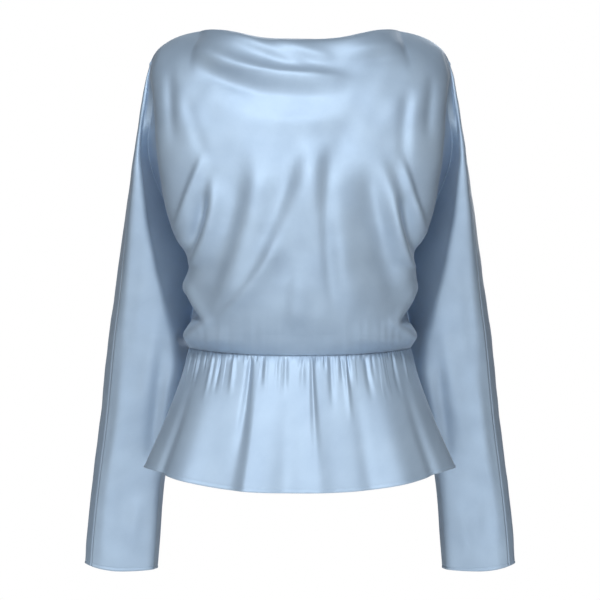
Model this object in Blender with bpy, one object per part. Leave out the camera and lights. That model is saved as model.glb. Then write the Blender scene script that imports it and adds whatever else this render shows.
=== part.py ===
# A loose satin top: batwing sleeves cut in one with the front and the back, boat neck,
# gathered waist seam and a short flared peplum. Worn hollow form, arms hanging.
# Metres, Z up, the front faces minus Y, the origin lies between the shoulder points.
import bpy
import numpy as np

MM = 0.001
WALL = 1.4
SEAM_GAP = 0.34
LONGEST_MITRE = 2.2
NECK_HALF_WIDTH = 122.0
NECK_FRONT_DEPTH = 68.0
NECK_BACK_DEPTH = 58.0
# Shape of the neck opening seen from above: how square its ends and its middle are.
NECK_END_POWER = 2.2
NECK_MIDDLE_POWER = 0.62
# Shape of the chest section: spacing of its columns, and how full it is towards the folds.
CHEST_SPREAD = 0.94
CHEST_FULLNESS = 0.85
TOP_SPREAD = 0.92
SHOULDER_SEAM_Y = 2.0
SIDE_SEAM_ANGLE = 105.0
UNDERARM_Z = -372.0
WAIST_SIDE_Z = -389.0
GATHERS_PER_PANEL = 38
COLUMNS_PER_GATHER = 4

# Top outline, seen from the front: neck edge out to its end, then the shoulder seam.
# Columns: x, z at the front, z at the back
TOP_EDGE = (
    (0.0, -16.5, -12.0),
    (30.0, -16.0, -11.5),
    (55.0, -13.0, -10.0),
    (75.0, -8.0, -7.5),
    (92.0, -4.0, -5.0),
    (108.0, -2.2, -2.8),
    (122.0, -2.4, -2.4),
    (134.0, -4.6, -4.6),
    (147.0, -8.4, -8.4),
    (159.0, -14.0, -14.0),
    (171.0, -22.5, -22.5),
    (178.0, -31.0, -31.0),
    (183.3, -42.0, -42.0),
)

# Body sections. The fold edge is the side limit of the front panel over the arm.
# Columns: z, fold x, fold y, centre y
FRONT_BODY = (
    (-62.0, 181.0, -22.0, -90.0),
    (-87.0, 177.5, -42.0, -102.0),
    (-110.0, 175.5, -54.0, -110.0),
    (-135.0, 174.0, -62.0, -116.0),
    (-160.0, 171.5, -66.0, -121.0),
    (-184.0, 168.0, -68.0, -124.0),
    (-210.0, 163.5, -70.0, -126.0),
    (-233.0, 158.0, -70.0, -127.0),
    (-257.0, 149.0, -66.0, -127.0),
    (-275.0, 139.0, -58.0, -127.0),
    (-289.0, 133.0, -50.0, -126.5),
    (-302.0, 137.5, -52.0, -126.0),
    (-315.0, 141.5, -52.0, -126.0),
    (-326.0, 138.5, -47.0, -125.0),
    (-338.0, 131.0, -41.0, -124.5),
    (-350.0, 128.5, -38.0, -124.0),
    (-361.0, 135.0, -40.0, -121.0),
    (-372.0, 139.5, -41.0, -117.0),
    (-381.0, 138.5, -36.0, -109.0),
    (-389.0, 134.5, -8.0, -97.0),
)
BACK_BODY = (
    (-62.0, 180.5, 26.0, 92.0),
    (-87.0, 177.0, 44.0, 102.0),
    (-110.0, 175.0, 58.0, 108.0),
    (-135.0, 173.0, 70.0, 112.0),
    (-160.0, 170.0, 80.0, 115.0),
    (-184.0, 166.0, 88.0, 116.0),
    (-210.0, 161.0, 93.0, 115.0),
    (-233.0, 156.0, 95.0, 114.0),
    (-257.0, 149.0, 94.0, 112.0),
    (-275.0, 143.0, 91.0, 110.0),
    (-289.0, 138.5, 88.0, 109.0),
    (-302.0, 136.0, 85.0, 108.0),
    (-315.0, 134.5, 82.0, 107.0),
    (-326.0, 133.5, 78.0, 106.0),
    (-338.0, 132.5, 74.0, 105.0),
    (-350.0, 131.5, 69.0, 104.0),
    (-361.0, 131.0, 63.0, 102.0),
    (-372.0, 130.8, 56.0, 98.0),
    (-381.0, 130.8, 44.0, 92.0),
    (-389.0, 129.9, 14.5, 79.0),
)

# The crease where body cloth turns out again to the sleeve, and below the underarm
# point the two seams that leave it. In front the cloth first tucks in behind the fold,
# so the crease is a deep narrow valley beside the sleeve.
# Columns: z, front crease x, front crease y, back crease x, back crease y, tuck
CREASE = (
    (-62.0, 182.6, -14.0, 182.6, 16.0, 0.0),
    (-87.0, 178.5, -20.5, 177.0, 26.0, 0.5),
    (-110.0, 181.0, -16.0, 171.5, 34.0, 5.0),
    (-135.0, 186.5, -6.0, 165.0, 41.0, 11.0),
    (-160.0, 187.5, 3.0, 158.5, 46.0, 14.0),
    (-184.0, 186.0, 10.0, 153.0, 49.0, 16.0),
    (-210.0, 183.0, 15.0, 147.5, 51.0, 17.0),
    (-233.0, 180.0, 19.0, 143.0, 51.0, 19.0),
    (-257.0, 175.0, 22.0, 137.5, 50.0, 21.0),
    (-289.0, 167.0, 24.0, 131.0, 48.5, 24.0),
    (-315.0, 160.5, 25.0, 131.0, 46.0, 16.0),
    (-338.0, 153.5, 24.0, 132.5, 43.0, 16.0),
    (-350.0, 146.5, 21.5, 134.0, 40.0, 12.0),
    (-361.0, 140.0, 19.0, 135.7, 36.5, 6.0),
    (-367.5, 136.8, 20.5, 136.0, 32.5, 2.0),
    (-372.0, 136.0, 26.0, 136.0, 26.0, 1.0),
)
# Columns: z, side seam x, side seam y
SIDE_SEAM = (
    (-372.0, 136.0, 26.0),
    (-376.0, 133.2, 22.5),
    (-381.0, 131.2, 19.0),
    (-389.0, 129.9, 14.5),
)
# Columns: z, underarm seam x, underarm seam y
UNDERARM_SEAM = (
    (-372.0, 136.0, 26.0),
    (-376.0, 138.6, 28.5),
    (-381.0, 140.2, 32.0),
    (-389.0, 137.5, 38.0),
    (-402.0, 132.5, 46.0),
    (-418.0, 132.0, 52.0),
    (-434.0, 135.0, 57.0),
    (-455.0, 140.0, 62.0),
    (-482.0, 148.0, 68.0),
    (-512.0, 157.5, 72.0),
    (-545.0, 165.5, 74.0),
    (-580.0, 169.5, 75.0),
    (-620.0, 172.0, 76.0),
    (-665.0, 175.5, 76.0),
)

# Sleeve sections.
# Columns: z, x where the front turns in, outer x, front y, rear y, seam set in from outer x
SLEEVE = (
    (-62.0, 185.0, 188.4, -6.0, 12.0, 0.4),
    (-87.0, 187.0, 192.6, -14.5, 26.0, 0.6),
    (-110.0, 190.5, 196.4, -17.0, 40.0, 0.8),
    (-135.0, 193.0, 200.6, -20.0, 54.0, 1.2),
    (-160.0, 193.0, 204.2, -24.0, 66.0, 1.8),
    (-184.0, 190.0, 207.5, -25.0, 76.0, 2.5),
    (-210.0, 187.0, 211.3, -22.0, 84.0, 3.3),
    (-233.0, 184.0, 215.0, -19.0, 90.0, 4.0),
    (-257.0, 179.5, 219.0, -15.0, 95.0, 4.8),
    (-289.0, 172.5, 224.2, -9.0, 100.0, 5.8),
    (-315.0, 166.5, 228.0, -4.0, 104.0, 6.3),
    (-338.0, 161.0, 231.6, 1.0, 106.0, 6.8),
    (-361.0, 156.0, 235.2, 5.0, 108.0, 7.0),
    (-372.0, 153.5, 236.8, 7.0, 109.0, 7.1),
    (-398.0, 149.0, 239.9, 12.0, 110.0, 7.4),
    (-432.0, 146.5, 243.4, 18.0, 111.0, 7.6),
    (-482.0, 155.0, 249.2, 27.0, 112.0, 8.0),
    (-545.0, 171.5, 257.9, 37.0, 111.0, 8.0),
    (-580.0, 175.5, 262.2, 41.0, 109.0, 7.8),
    (-620.0, 178.0, 265.9, 45.0, 107.0, 7.6),
    (-665.0, 181.0, 268.2, 48.0, 104.0, 7.4),
)

# Peplum sections as ovals.
# Columns: share of the way down, side z, half width, side y, front y, back y, centre drop
PEPLUM = (
    (0.0, -389.0, 134.5, -8.0, -97.0, 79.0, 8.0),
    (0.05, -396.0, 136.6, -11.0, -102.5, 82.0, 9.0),
    (0.14, -408.5, 139.5, -15.5, -108.5, 85.5, 11.0),
    (0.3, -431.0, 145.5, -23.0, -117.0, 91.0, 14.0),
    (0.6, -473.0, 160.0, -35.5, -131.5, 101.0, 20.0),
    (1.0, -531.5, 184.0, -45.0, -150.0, 112.0, 28.0),
)

# Largest folds of the front, left and right of the wearer apart, ridges above zero.
# Columns: start x, start z, end x, end z, half width, height
FRONT_FOLDS = (
    (-124.0, -24.0, -66.0, -50.0, 9.0, 4.0),
    (-66.0, -50.0, 36.0, -60.0, 10.0, 4.0),
    (-118.0, -42.0, -48.0, -70.0, 10.0, -5.0),
    (-48.0, -70.0, 10.0, -78.0, 10.0, -3.5),
    (-123.0, -170.0, -148.0, -240.0, 10.0, 5.0),
    (-107.0, -205.0, -134.0, -300.0, 12.0, 8.0),
    (-128.0, -235.0, -138.0, -268.0, 10.0, -7.0),
    (-60.0, -205.0, -98.0, -330.0, 14.0, -6.0),
    (-5.0, -185.0, -70.0, -310.0, 14.0, 6.0),
    (24.0, -160.0, 28.0, -330.0, 14.0, -7.0),
    (43.0, -215.0, 78.0, -350.0, 12.0, 6.0),
    (78.0, -210.0, 105.0, -340.0, 12.0, -6.0),
    (110.0, -190.0, 124.0, -290.0, 12.0, 7.0),
    (128.0, -165.0, 148.0, -240.0, 10.0, 5.0),
    (130.0, -235.0, 140.0, -270.0, 10.0, -7.0),
    (-4.0, -250.0, -2.0, -350.0, 12.0, 4.0),
)
# Quieter folds for the back, which the photograph does not show.
BACK_FOLDS = (
    (-60.0, -30.0, 10.0, -58.0, 10.0, 3.0),
    (10.0, -58.0, 70.0, -34.0, 10.0, 3.0),
    (-112.0, -170.0, -138.0, -265.0, 13.0, 6.0),
    (-70.0, -215.0, -92.0, -345.0, 14.0, -5.0),
    (-30.0, -200.0, -44.0, -350.0, 14.0, 5.0),
    (6.0, -230.0, 4.0, -352.0, 14.0, -5.0),
    (46.0, -205.0, 58.0, -350.0, 14.0, 5.0),
    (84.0, -225.0, 104.0, -345.0, 13.0, -5.0),
    (116.0, -160.0, 140.0, -262.0, 13.0, 6.0),
)

# Broad peplum folds that reach the hem.
# Columns: place across the panel from 0 to 1, half width, height at the hem
FRONT_PEPLUM_FOLDS = (
    (0.10, 0.030, 6.0),
    (0.20, 0.030, -5.0),
    (0.31, 0.030, 5.0),
    (0.385, 0.020, -8.0),
    (0.47, 0.030, 5.0),
    (0.555, 0.025, -5.0),
    (0.635, 0.030, 6.0),
    (0.72, 0.030, -6.0),
    (0.80, 0.030, 5.0),
    (0.90, 0.030, 5.0),
)
BACK_PEPLUM_FOLDS = (
    (0.12, 0.035, 6.0),
    (0.23, 0.030, -5.0),
    (0.34, 0.035, 6.0),
    (0.45, 0.030, -6.0),
    (0.56, 0.035, 6.0),
    (0.67, 0.030, -5.0),
    (0.78, 0.035, 6.0),
    (0.88, 0.030, 5.0),
)

# Heights of the section rows.
BODY_ROWS = (-62.0, -80.0, -100.0, -120.0, -142.0, -164.0, -186.0, -208.0, -228.0, -247.0,
             -263.0, -276.0, -289.0, -302.0, -315.0, -326.0, -338.0, -350.0, -361.0, -367.5,
             -372.0)
WAIST_ROWS = (-381.0,)
SLEEVE_ROWS = (-384.0, -402.0, -426.0, -456.0, -492.0, -532.0, -576.0, -620.0, -665.0)
# Cuff edge: lower in the middle of its width than at its two corners.
CUFF_LIFT_OUTER = 9.0
CUFF_LIFT_INNER = 3.0

CHEST_COLUMNS = 12
FOLD_COLUMNS = 4
SLEEVE_COLUMNS = 7

BODY_COLUMNS = CHEST_COLUMNS + FOLD_COLUMNS
TOP_FOLD_X = 174.0
NECK_END_COLUMN = 6
SHOULDER_SWELL = 5.0
CUFF_CURVE_Z = -580.0
CUFF_MIDDLE_X = 220.0
CUFF_HALF_WIDTH = 46.0
PEPLUM_WALL = 1.5
PEPLUM_ROWS = (0.0, 0.045, 0.11, 0.24, 0.52, 1.0)
# Columns: share of the way down, height of the fine gathers
GATHER_FADE = (
    (0.0, 0.9),
    (0.045, 1.6),
    (0.11, 1.6),
    (0.24, 0.8),
    (0.52, 0.15),
    (1.0, 0.0),
)
SATIN = (0.42, 0.55, 0.70)


def smooth(table, at):
    """Read every column of a table at one height with a smooth curve through its rows."""
    rows = np.array(table, dtype=float)
    key = rows[:, 0]
    if key[0] > key[-1]:
        rows = rows[::-1]
        key = rows[:, 0]
    at = min(max(at, key[0]), key[-1])
    high = int(np.searchsorted(key, at))
    high = min(max(high, 1), len(key) - 1)
    low = high - 1
    before = max(low - 1, 0)
    after = min(high + 1, len(key) - 1)
    span = key[high] - key[low]
    share = (at - key[low]) / span
    slope_low = (rows[high] - rows[before]) / (key[high] - key[before]) * span
    slope_high = (rows[after] - rows[low]) / (key[after] - key[low]) * span
    a = 2 * share ** 3 - 3 * share ** 2 + 1
    b = share ** 3 - 2 * share ** 2 + share
    c = -2 * share ** 3 + 3 * share ** 2
    d = share ** 3 - share ** 2
    return (a * rows[low] + b * slope_low + c * rows[high] + d * slope_high)[1:]


def curve(points, count):
    """Points spaced evenly along a smooth line through a few given points."""
    knots = np.array(points, dtype=float)
    steps = np.linalg.norm(np.diff(knots, axis=0), axis=1)
    length = np.concatenate(([0.0], np.cumsum(steps)))
    table = np.column_stack((length, knots))
    fine = np.array([smooth(table, s) for s in np.linspace(0.0, length[-1], 60)])
    walk = np.linalg.norm(np.diff(fine, axis=0), axis=1)
    walk = np.concatenate(([0.0], np.cumsum(walk)))
    wanted = np.linspace(0.0, walk[-1], count + 1)
    return np.column_stack([np.interp(wanted, walk, fine[:, k]) for k in range(2)])


def fold_height(folds, x, z):
    """Sum of the ridges and troughs at one place of a panel."""
    total = 0.0
    for x0, z0, x1, z1, width, height in folds:
        run = np.array([x1 - x0, z1 - z0])
        length = np.linalg.norm(run)
        along = np.dot([x - x0, z - z0], run) / length ** 2
        inside = min(max(along, 0.0), 1.0)
        gap = np.hypot(x - x0 - inside * run[0], z - z0 - inside * run[1])
        taper = 0.35 + 0.65 * np.sin(np.pi * min(max(along, 0.02), 0.98))
        total += height * taper * np.exp(-(gap / width) ** 2)
    return total


def crease_at(side, z, seam_below):
    """Place of the crease in x and y and its tuck, or of the seam that goes on below it."""
    if z < UNDERARM_Z:
        x, y = smooth(seam_below, z)
        return x, y, 0.0
    front_x, front_y, back_x, back_y, tuck = smooth(CREASE, z)
    if side == "front":
        return front_x, front_y, tuck
    return back_x, back_y, 0.0


def body_row(side, z):
    """Both halves of a body section at one height, each from the centre to the crease."""
    front = side == "front"
    facing = -1.0 if front else 1.0
    folds = FRONT_FOLDS if front else BACK_FOLDS
    fold_x, fold_y, centre_y = smooth(FRONT_BODY if front else BACK_BODY, z)
    crease_x, crease_y, tuck = crease_at(side, z, SIDE_SEAM)
    points = []
    for column in range(CHEST_COLUMNS + 1):
        turn = 0.5 * np.pi * (column / CHEST_COLUMNS) ** CHEST_SPREAD
        x = fold_x * np.sin(turn)
        y = fold_y + (centre_y - fold_y) * np.cos(turn) ** CHEST_FULLNESS
        points.append((x, y))
    bend = (0.5 * (fold_x + crease_x) - tuck, 0.5 * (fold_y + crease_y))
    points.extend(curve((points[-1], bend, (crease_x, crease_y)), FOLD_COLUMNS)[1:])
    halves = {-1: [], 1: []}
    for hand in halves:
        for column, (x, y) in enumerate(points):
            lift = 0.0
            if column <= CHEST_COLUMNS:
                lift = fold_height(folds, hand * x, z) * (1.0 - 0.75 * (x / fold_x) ** 6)
            halves[hand].append((hand * x, y + facing * lift, z))
    return halves


def sleeve_row(side, z):
    """Half a sleeve section at one height, from crease or underarm seam to overarm seam."""
    turn_x, outer_x, front_y, rear_y, set_in = smooth(SLEEVE, z)
    start_x, start_y = crease_at(side, z, UNDERARM_SEAM)[:2]
    depth = rear_y - front_y
    seam = (outer_x - set_in, front_y + 0.26 * depth)
    if side == "front":
        middle = (0.5 * (turn_x + seam[0]), front_y)
        knots = ((start_x, start_y), (turn_x, front_y + 0.05 * depth), middle, seam)
    else:
        outermost = (outer_x, front_y + 0.48 * depth)
        middle = (turn_x + 0.52 * (outer_x - turn_x), rear_y)
        inner = (turn_x + 0.10 * (outer_x - turn_x), rear_y - 0.08 * depth)
        early = (start_x + 0.40 * (inner[0] - start_x), start_y + 0.26 * (inner[1] - start_y))
        knots = ((start_x, start_y), early, inner, middle, outermost, seam)
    return curve(knots, SLEEVE_COLUMNS)


def oval(angle, half_width, side_y, front_y, back_y):
    """A point of an oval, angle zero at the front centre, in degrees."""
    turn = np.radians(angle)
    reach = side_y - front_y if abs(angle) <= 90.0 else back_y - side_y
    return half_width * np.sin(turn), side_y - reach * np.cos(turn)


def ring_z(angle, side_z, drop):
    """Height round the waist or hem, lower at both centres than at the sides."""
    return side_z - drop * (1.0 - abs(np.sin(np.radians(angle))) ** 2.6)


def top_line(side):
    """The neck edge and then the shoulder seam of one panel, on the wearer's left half."""
    front = side == "front"
    edge = [(row[0], row[1] if front else row[2]) for row in TOP_EDGE]
    depth = -NECK_FRONT_DEPTH if front else NECK_BACK_DEPTH
    turns = 0.5 * np.pi * np.linspace(0.0, 1.0, CHEST_COLUMNS + 1)
    xs = list(TOP_FOLD_X * np.sin(turns) ** TOP_SPREAD)
    tip = edge[-1][0]
    rest = FOLD_COLUMNS + SLEEVE_COLUMNS
    xs.extend([TOP_FOLD_X + (tip - TOP_FOLD_X) * (k + 1) / rest for k in range(rest)])
    xs[NECK_END_COLUMN] = NECK_HALF_WIDTH
    line = []
    for x in xs:
        y = SHOULDER_SEAM_Y
        if x < NECK_HALF_WIDTH:
            y += depth * (1.0 - (x / NECK_HALF_WIDTH) ** NECK_END_POWER) ** NECK_MIDDLE_POWER
        line.append((x, y, smooth(edge, x)[0]))
    return line


def waist_line(side):
    """The lower edge of a body panel on the waist oval, on the wearer's left half."""
    side_z, half_width, side_y, front_y, back_y, drop = PEPLUM[0][1:]
    start = 0.0 if side == "front" else 180.0
    line = []
    for angle in np.linspace(start, SIDE_SEAM_ANGLE, CHEST_COLUMNS + FOLD_COLUMNS + 1):
        x, y = oval(angle, half_width, side_y, front_y, back_y)
        line.append((x, y, ring_z(angle, side_z, drop)))
    return line


def shoulder_line(side, hand, edge, below):
    """The row between the top edge and the first section, swelled out over the shoulder."""
    facing = -1.0 if side == "front" else 1.0
    folds = FRONT_FOLDS if side == "front" else BACK_FOLDS
    line = []
    for start, end in zip(edge, below):
        x, y, z = [0.5 * (a + b) for a, b in zip(start, end)]
        swell = SHOULDER_SWELL * min(1.0, np.hypot(end[1] - start[1], end[2] - start[2]) / 60.0)
        lift = 0.6 * fold_height(folds, x, z)
        line.append((x, y + facing * (swell + lift), z + swell))
    return line


def half_panel(side, hand):
    """Three joined grids of one half of a panel: down to the underarm, waist, and sleeve."""
    upper = []
    for z in BODY_ROWS:
        sleeve = [(hand * x, y, z) for x, y in sleeve_row(side, z)]
        upper.append(body_row(side, z)[hand] + sleeve[1:])
    edge = [(hand * x, y, z) for x, y, z in top_line(side)]
    upper = [edge, shoulder_line(side, hand, edge, upper[0])] + upper
    waist = [upper[-1][:BODY_COLUMNS + 1]]
    for z in WAIST_ROWS:
        line = []
        share = (UNDERARM_Z - z) / (UNDERARM_Z - WAIST_SIDE_Z)
        for x, y, level in body_row(side, z)[hand]:
            drop = PEPLUM[0][-1] * share * (1.0 - min(1.0, abs(x) / PEPLUM[0][2]) ** 2)
            line.append((x, y, level - drop))
        waist.append(line)
    waist.append([(hand * x, y, z) for x, y, z in waist_line(side)])
    sleeve = [upper[-1][BODY_COLUMNS:]]
    for z in SLEEVE_ROWS:
        share = max(0.0, (CUFF_CURVE_Z - z) / (CUFF_CURVE_Z - SLEEVE_ROWS[-1]))
        line = []
        for x, y in sleeve_row(side, z):
            lift = CUFF_LIFT_OUTER if x > CUFF_MIDDLE_X else CUFF_LIFT_INNER
            lift *= share * ((x - CUFF_MIDDLE_X) / CUFF_HALF_WIDTH) ** 2
            line.append((hand * x, y, z + lift))
        sleeve.append(line)
    return upper, waist, sleeve


def body_key(side, hand, grid, row, column):
    """Name of a point, the same from both panels on a seam and from both halves at the centre."""
    under_row = len(BODY_ROWS) + 1
    if grid == "waist" and row == 0:
        return body_key(side, hand, "upper", under_row, column)
    if grid == "sleeve" and row == 0:
        return body_key(side, hand, "upper", under_row, column + BODY_COLUMNS)
    if grid != "sleeve" and column == 0:
        return (side, grid, row)
    if grid == "upper" and column == BODY_COLUMNS + SLEEVE_COLUMNS:
        return (hand, "overarm", row)
    if grid == "upper" and row == 0 and column >= NECK_END_COLUMN:
        return (hand, "shoulder", column)
    if grid == "upper" and row == under_row and column == BODY_COLUMNS:
        return (hand, "underarm point")
    if grid == "waist" and column == BODY_COLUMNS:
        return (hand, "side", row)
    if grid == "sleeve" and column == 0:
        return (hand, "underarm", row)
    if grid == "sleeve" and column == SLEEVE_COLUMNS:
        return (hand, "overarm", under_row + row)
    return (side, hand, grid, row, column)


def body_surface():
    """Outer surface of front and back as one set of points and, per panel, its quads."""
    points = []
    index = {}
    quads = {"front": [], "back": []}
    for side in quads:
        for hand in (-1, 1):
            for grid, rows in zip(("upper", "waist", "sleeve"), half_panel(side, hand)):
                numbers = []
                for row, line in enumerate(rows):
                    numbers.append([])
                    for column, place in enumerate(line):
                        key = body_key(side, hand, grid, row, column)
                        if key not in index:
                            index[key] = len(points)
                            points.append(place)
                        numbers[-1].append(index[key])
                for upper, lower in zip(numbers, numbers[1:]):
                    for column in range(len(upper) - 1):
                        quad = [upper[column], upper[column + 1],
                                lower[column + 1], lower[column]]
                        if (side == "front") == (hand > 0):
                            quad.reverse()
                        quads[side].append(quad)
    return np.array(points), quads, index


def outward(points, quads):
    """Direction out of the surface at every point, longer where it bends so walls stay even."""
    total = np.zeros_like(points)
    around = np.zeros(len(points))
    for quad in quads:
        a, b, c, d = [points[k] for k in quad]
        face = np.cross(c - a, d - b)
        face /= max(np.linalg.norm(face), 1e-9)
        for k in quad:
            total[k] += face
            around[k] += 1.0
    length = np.maximum(np.linalg.norm(total, axis=1), 1e-9)
    straight = np.maximum(length / np.maximum(around, 1.0), 1.0 / LONGEST_MITRE)
    return total / (length * straight)[:, None]


def rim_of(quads):
    """Boundary edges of a panel, each with its direction along the panel."""
    used = set()
    for quad in quads:
        for k in range(4):
            used.add((quad[k], quad[(k + 1) % 4]))
    return [edge for edge in sorted(used) if (edge[1], edge[0]) not in used]


def shrink_from_seams(points, normals, quads, seam_points):
    """Move the panel's seam points back from the seam by half the gap, along the cloth."""
    rim = rim_of(quads)
    after = dict(rim)
    before = {b: a for a, b in rim}
    moved = points.copy()
    for k in seam_points:
        if k in after and k in before:
            along = points[after[k]] - points[before[k]]
            inward = np.cross(normals[k], along)
            moved[k] += 0.5 * SEAM_GAP * inward / np.linalg.norm(inward)
    return moved


def cloth_solid(name, outer, inner, quads, colour):
    """A closed wall of cloth between two faces of the same quads, as one object."""
    owned = sorted({k for quad in quads for k in quad})
    number = {k: n for n, k in enumerate(owned)}
    count = len(owned)
    places = [tuple(outer[k] * MM) for k in owned] + [tuple(inner[k] * MM) for k in owned]
    faces = [[number[k] for k in quad] for quad in quads]
    faces += [[number[k] + count for k in reversed(quad)] for quad in quads]
    for edge in rim_of(quads):
        a, b = [number[k] for k in edge]
        if a < b:
            faces += [[b, a, b + count], [a, a + count, b + count]]
        else:
            faces += [[b, a, a + count], [b, a + count, b + count]]
    mesh = bpy.data.meshes.new(name)
    mesh.from_pydata(places, [], faces)
    mesh.validate()
    mesh.update()
    for polygon in mesh.polygons:
        polygon.use_smooth = True
    material = bpy.data.materials.new(name + "_satin")
    material.use_nodes = True
    shader = material.node_tree.nodes["Principled BSDF"]
    shader.inputs["Base Color"].default_value = (*colour, 1.0)
    shader.inputs["Roughness"].default_value = 0.4
    mesh.materials.append(material)
    piece = bpy.data.objects.new(name, mesh)
    bpy.context.scene.collection.objects.link(piece)
    return piece


def build_body():
    """The front and the back, each cut in one with its halves of both sleeves."""
    points, quads, index = body_surface()
    normals = outward(points, quads["front"] + quads["back"])
    seams = ("overarm", "shoulder", "underarm point", "side", "underarm")
    seam_points = [n for key, n in index.items() if key[1] in seams]
    waist_row = len(WAIST_ROWS) + 1
    waist_points = []
    for key, n in index.items():
        if key[-3:-1] == ("waist", waist_row) or key[1:] in (("waist", waist_row),
                                                             ("side", waist_row)):
            waist_points.append(n)
    for n in waist_points:
        normals[n][2] = 0.0
        normals[n] /= np.linalg.norm(normals[n])
        points[n][2] += 0.5 * SEAM_GAP
    for hand in (-1, 1):
        normals[index[(hand, "underarm point")]] = (0.12 * hand, 0.0, -1.3)
    for side in ("front", "back"):
        outer = shrink_from_seams(points, normals, quads[side], seam_points)
        cloth_solid(side, outer, outer - WALL * normals, quads[side], SATIN)


def gather_height(place, share):
    """Height of the fine gathers, uneven in spacing, depth and length, fading downwards."""
    turn = 2.0 * np.pi * (GATHERS_PER_PANEL * place + 0.14 * np.sin(33.0 * place))
    length = 0.75 + 0.35 * np.sin(47.0 * place + 1.0)
    depth = 0.82 + 0.18 * np.sin(71.0 * place)
    return depth * smooth(GATHER_FADE, share / length)[0] * np.cos(turn)


def build_peplum(side):
    """One flared panel hanging from the waist seam, gathered along its upper edge."""
    front = side == "front"
    folds = FRONT_PEPLUM_FOLDS if front else BACK_PEPLUM_FOLDS
    columns = GATHERS_PER_PANEL * COLUMNS_PER_GATHER
    start, end = (-SIDE_SEAM_ANGLE, SIDE_SEAM_ANGLE)
    if not front:
        start, end = (SIDE_SEAM_ANGLE, 360.0 - SIDE_SEAM_ANGLE)
    outer = []
    inner = []
    for share in PEPLUM_ROWS:
        side_z, half_width, side_y, front_y, back_y, drop = smooth(PEPLUM, share)
        for column in range(columns + 1):
            place = column / columns
            angle = start + (end - start) * place
            bearing = angle if angle <= 180.0 else angle - 360.0
            x, y = oval(bearing, half_width, side_y, front_y, back_y)
            ahead = np.array(oval(bearing + 0.5, half_width, side_y, front_y, back_y))
            ahead -= np.array(oval(bearing - 0.5, half_width, side_y, front_y, back_y))
            ahead /= np.linalg.norm(ahead)
            outwards = np.array([ahead[1], -ahead[0]])
            height = gather_height(place, share)
            for centre, width, rise in folds:
                height += rise * share ** 1.3 * np.exp(-((place - centre) / width) ** 2)
            if column in (0, columns):
                along = SEAM_GAP * 0.5 * (1.0 if column == 0 else -1.0)
                x += along * ahead[0]
                y += along * ahead[1]
            z = ring_z(bearing, side_z, drop) - (0.5 * SEAM_GAP if share == 0.0 else 0.0)
            outer.append((x + height * outwards[0], y + height * outwards[1], z))
            inner.append((x + (height - PEPLUM_WALL) * outwards[0],
                          y + (height - PEPLUM_WALL) * outwards[1], z))
    quads = []
    wide = columns + 1
    for row in range(len(PEPLUM_ROWS) - 1):
        for column in range(columns):
            a = row * wide + column
            quads.append([a, a + wide, a + wide + 1, a + 1])
    cloth_solid("peplum_" + side, np.array(outer), np.array(inner), quads, SATIN)


for old in list(bpy.data.objects):
    bpy.data.objects.remove(old, do_unlink=True)

build_body()
build_peplum("front")
build_peplum("back")
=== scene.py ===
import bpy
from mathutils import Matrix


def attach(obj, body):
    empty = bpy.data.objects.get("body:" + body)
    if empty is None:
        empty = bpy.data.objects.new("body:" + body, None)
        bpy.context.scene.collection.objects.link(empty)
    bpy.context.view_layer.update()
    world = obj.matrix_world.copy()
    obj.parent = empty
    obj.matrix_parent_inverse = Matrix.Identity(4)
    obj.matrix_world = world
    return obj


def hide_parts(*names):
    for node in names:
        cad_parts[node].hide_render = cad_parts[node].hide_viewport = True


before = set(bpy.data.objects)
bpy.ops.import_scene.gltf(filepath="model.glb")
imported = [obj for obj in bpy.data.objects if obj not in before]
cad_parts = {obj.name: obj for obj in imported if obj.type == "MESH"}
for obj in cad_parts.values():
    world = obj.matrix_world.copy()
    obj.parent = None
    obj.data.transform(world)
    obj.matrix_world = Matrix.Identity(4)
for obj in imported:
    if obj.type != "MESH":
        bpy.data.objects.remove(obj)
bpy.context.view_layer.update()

import bpy
import numpy as np

# Studio. A long lens straight at the front of the garment, a pale floor under it, a white
# surround, one very wide soft light from the front, a smaller one above it, faint ones at
# both sides and one behind.
CAMERA_DISTANCE = 5.0
CAMERA_HEIGHT = -0.3306
FRAME_HEIGHT = 0.732
SENSOR = 36.0
FLOOR_Z = -1.05
FLOOR_RADIUS = 1.5
# Lights, all aimed at the middle of the garment. Columns: name, place, width and height in
# metres, power in watts, colour
LIGHTS_AIM = (0.0, 0.0, -0.33)
LIGHTS = (
    ("front_wide", (0.0, -5.6, -0.3), 6.2, 5.0, 206.0, "#FFFFFF"),
    ("key_top", (-0.4, -3.0, 3.1), 2.6, 1.8, 158.0, "#FFFFFF"),
    ("left_edge", (-2.6, -1.4, 0.0), 1.0, 1.6, 7.0, "#FFF4E6"),
    ("right_edge", (2.6, -1.4, 0.0), 1.0, 1.6, 7.0, "#FFF4E6"),
    ("back_soft", (0.4, 3.4, 0.9), 2.2, 2.2, 90.0, "#FFFFFF"),
)
SURROUND_LIGHT = 0.03
SURROUND_COLOUR = "#C4D6F0"


def linear(code):
    """Linear red, green, blue and alpha of an sRGB hex colour."""
    parts = [int(code[k:k + 2], 16) / 255.0 for k in (1, 3, 5)]
    curve = [c / 12.92 if c <= 0.04045 else ((c + 0.055) / 1.055) ** 2.4 for c in parts]
    return tuple(curve) + (1.0,)


def node(tree, kind, settings=None, links=None):
    """One shader node with its settings, and its inputs set to numbers or linked to outputs."""
    made = tree.nodes.new(kind)
    for name, value in (settings or {}).items():
        setattr(made, name, value)
    for name, value in (links or {}).items():
        if isinstance(value, bpy.types.NodeSocket):
            tree.links.new(value, made.inputs[name])
        else:
            made.inputs[name].default_value = value
    return made


scene = bpy.context.scene
scene.view_settings.view_transform = "Standard"

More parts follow.
